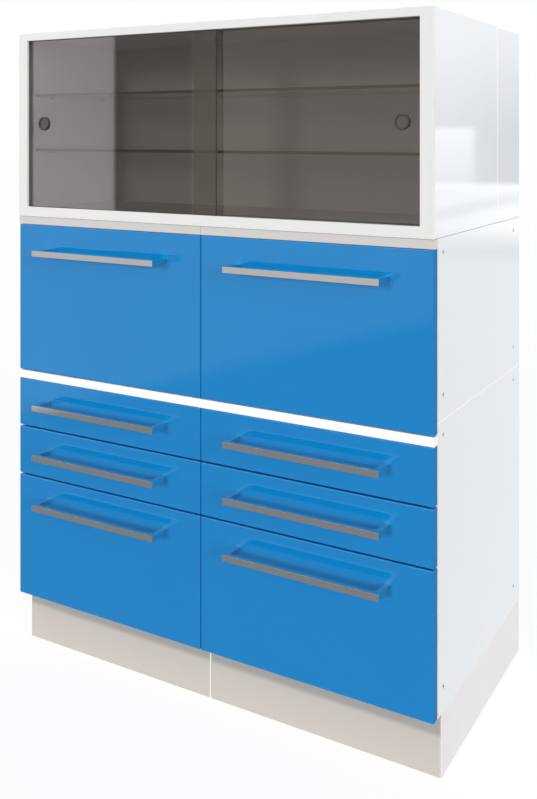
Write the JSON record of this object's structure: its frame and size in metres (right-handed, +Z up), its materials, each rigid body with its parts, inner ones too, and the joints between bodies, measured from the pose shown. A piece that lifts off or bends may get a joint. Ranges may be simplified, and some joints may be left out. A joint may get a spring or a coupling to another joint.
{
  "type": "suture cabinet",
  "caption": "Free-standing clinic storage cabinet with columns of gloss blue drawers and pull-outs on recessed plinths, and a glazed sliding-pane display unit on top.",
  "frame": {"origin": "on the floor, at the centre of the overall width and depth, handles included", "axes": "+Z up, -Y towards the user (the fronts and handles face -Y), +X to the right seen from the front"},
  "size_m": [1, 0.595, 1.395],
  "materials": {
    "blue_front": "high-gloss blue lacquer on fibreboard",
    "white_board": "white melamine-faced board with a faint pearl texture",
    "white_lacquer": "satin white lacquer",
    "white_strip": "satin white moulded strip",
    "plinth_metal": "fine-textured warm pale grey paint",
    "foot_plastic": "black moulded plastic",
    "drawer_metal": "pale grey powder-coated sheet steel",
    "handle_metal": "satin champagne anodised, polished on its side faces",
    "smoked_glass": "smoked grey-brown sheet glass",
    "shelf_glass": "clear sheet glass with darker edges",
    "pull_plastic": "dark moulded plastic, lighter in the dish",
    "track_plastic": "pale grey extruded plastic",
    "zinc_steel": "bright zinc-plated steel",
    "buffer_rubber": "translucent grey soft rubber"
  },
  "bodies": {
    "cabinet": {"column_bolts": "zinc_steel", "corner_brackets": "zinc_steel", "display_back": "white_board", "display_bottom": "white_board", "display_frame": "white_lacquer", "display_shelves": "shelf_glass", "display_side_left": "white_board", "display_side_right": "white_board", "display_top": "white_board", "drawer_runners": "zinc_steel", "front_buffers": "buffer_rubber", "levelling_feet": "foot_plastic", "lower_back_panels": "white_board", "lower_bottom_boards": "white_board", "lower_inner_sides": "white_board", "lower_outer_sides": "white_board", "lower_top_boards": "white_board", "middle_back_panels": "white_board", "middle_bottom_boards": "white_board", "middle_inner_sides": "white_board", "middle_outer_sides": "white_board", "middle_top_boards": "white_board", "pane_track_bottom": "track_plastic", "pane_track_top": "track_plastic", "plinth_left": "plinth_metal", "plinth_right": "plinth_metal", "rear_spacer_sides": "white_board", "rear_spacer_top": "white_board", "separator_strip": "white_strip", "shelf_supports": "zinc_steel", "side_screws": "zinc_steel", "top_strips": "white_strip"},
    "pane_left": {"pane_left_glass": "smoked_glass", "pane_left_pull": "pull_plastic"},
    "pane_right": {"pane_right_glass": "smoked_glass", "pane_right_pull": "pull_plastic"},
    "left_pull_out": {"left_pull_out_front": "blue_front", "left_pull_out_box": "drawer_metal", "left_pull_out_handle": "handle_metal"},
    "left_upper_drawer": {"left_upper_drawer_front": "blue_front", "left_upper_drawer_box": "drawer_metal", "left_upper_drawer_handle": "handle_metal"},
    "left_centre_drawer": {"left_centre_drawer_front": "blue_front", "left_centre_drawer_box": "drawer_metal", "left_centre_drawer_handle": "handle_metal"},
    "left_deep_drawer": {"left_deep_drawer_front": "blue_front", "left_deep_drawer_box": "drawer_metal", "left_deep_drawer_handle": "handle_metal"},
    "right_pull_out": {"right_pull_out_front": "blue_front", "right_pull_out_box": "drawer_metal", "right_pull_out_handle": "handle_metal"},
    "right_upper_drawer": {"right_upper_drawer_front": "blue_front", "right_upper_drawer_box": "drawer_metal", "right_upper_drawer_handle": "handle_metal"},
    "right_centre_drawer": {"right_centre_drawer_front": "blue_front", "right_centre_drawer_box": "drawer_metal", "right_centre_drawer_handle": "handle_metal"},
    "right_deep_drawer": {"right_deep_drawer_front": "blue_front", "right_deep_drawer_box": "drawer_metal", "right_deep_drawer_handle": "handle_metal"}
  },
  "joints": [
    {"name": "pane_left_slide", "type": "slide", "parent": "cabinet", "child": "pane_left", "axis": [1, 0, 0], "range_m": [0, 0.45]},
    {"name": "pane_right_slide", "type": "slide", "parent": "cabinet", "child": "pane_right", "axis": [-1, 0, 0], "range_m": [0, 0.45]},
    {"name": "left_pull_out_slide", "type": "slide", "parent": "cabinet", "child": "left_pull_out", "axis": [0, -1, 0], "range_m": [0, 0.36]},
    {"name": "left_upper_drawer_slide", "type": "slide", "parent": "cabinet", "child": "left_upper_drawer", "axis": [0, -1, 0], "range_m": [0, 0.36]},
    {"name": "left_centre_drawer_slide", "type": "slide", "parent": "cabinet", "child": "left_centre_drawer", "axis": [0, -1, 0], "range_m": [0, 0.36]},
    {"name": "left_deep_drawer_slide", "type": "slide", "parent": "cabinet", "child": "left_deep_drawer", "axis": [0, -1, 0], "range_m": [0, 0.36]},
    {"name": "right_pull_out_slide", "type": "slide", "parent": "cabinet", "child": "right_pull_out", "axis": [0, -1, 0], "range_m": [0, 0.36]},
    {"name": "right_upper_drawer_slide", "type": "slide", "parent": "cabinet", "child": "right_upper_drawer", "axis": [0, -1, 0], "range_m": [0, 0.36]},
    {"name": "right_centre_drawer_slide", "type": "slide", "parent": "cabinet", "child": "right_centre_drawer", "axis": [0, -1, 0], "range_m": [0, 0.36]},
    {"name": "right_deep_drawer_slide", "type": "slide", "parent": "cabinet", "child": "right_deep_drawer", "axis": [0, -1, 0], "range_m": [0, 0.36]}
  ]
}
